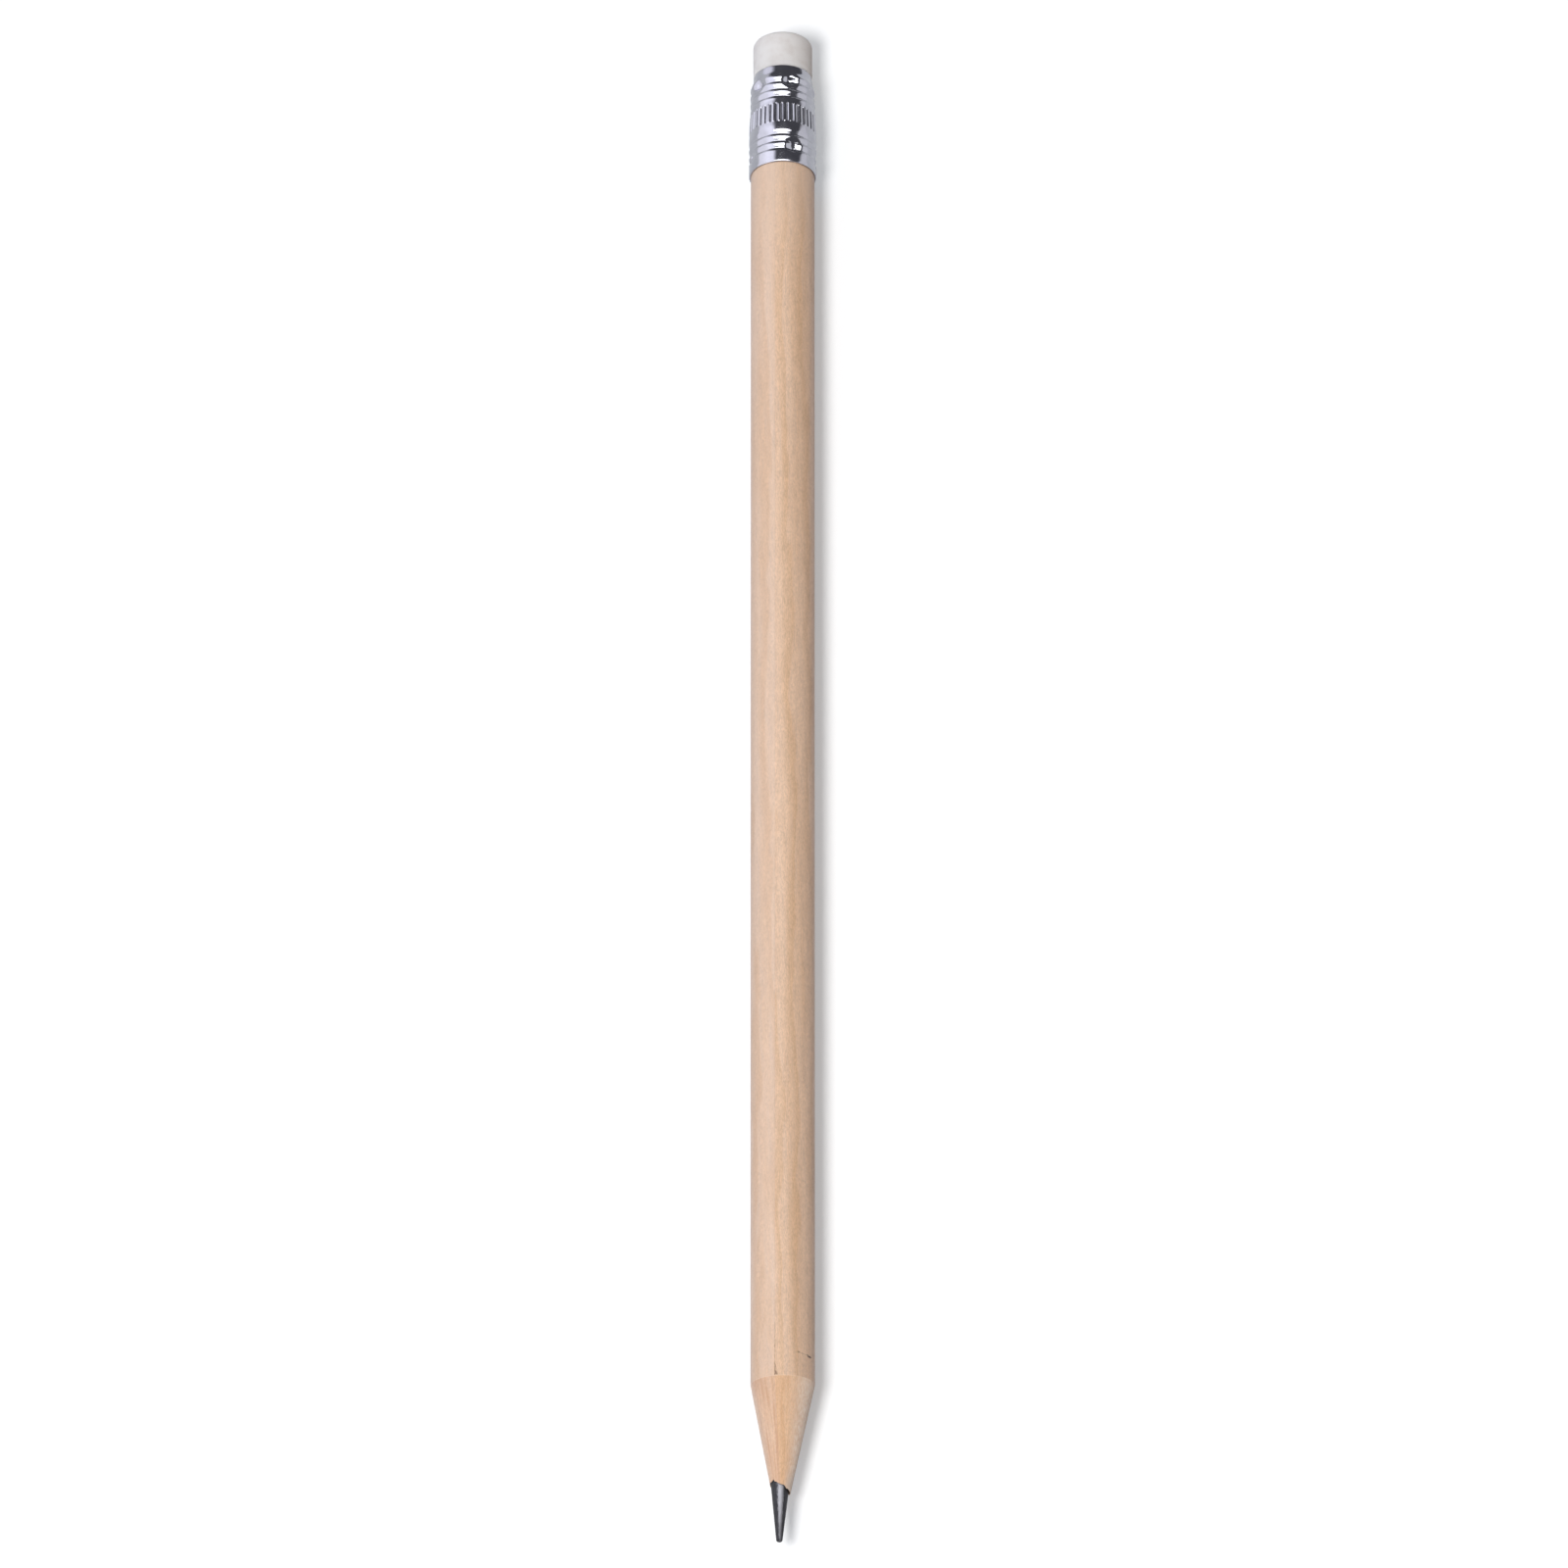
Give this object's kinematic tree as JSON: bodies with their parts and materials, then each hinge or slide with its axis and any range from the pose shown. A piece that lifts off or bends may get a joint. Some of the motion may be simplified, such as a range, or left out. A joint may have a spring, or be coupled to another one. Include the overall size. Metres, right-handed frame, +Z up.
{
  "type": "pencil with eraser",
  "caption": "Round natural-wood pencil, sharpened to a graphite point, with a ribbed and fluted bright metal ferrule and a white eraser.",
  "frame": {"origin": "under the middle of the pencil's length, on the surface that it lies on", "axes": "+Y along the pencil from the point to the eraser, +Z up, +X to the right as seen from the point"},
  "size_m": [0.0074, 0.1904, 0.0074],
  "materials": {
    "pale_wood": "bare sanded, matte",
    "warm_wood": "bare sanded, matte",
    "graphite": "fired graphite and clay, satin",
    "bright_aluminium": "bright rolled sheet",
    "white_rubber": "soft matte"
  },
  "bodies": {
    "root": {"slat_left": "pale_wood", "slat_right": "warm_wood", "graphite_core": "graphite", "ferrule": "bright_aluminium", "eraser": "white_rubber"}
  },
  "joints": []
}
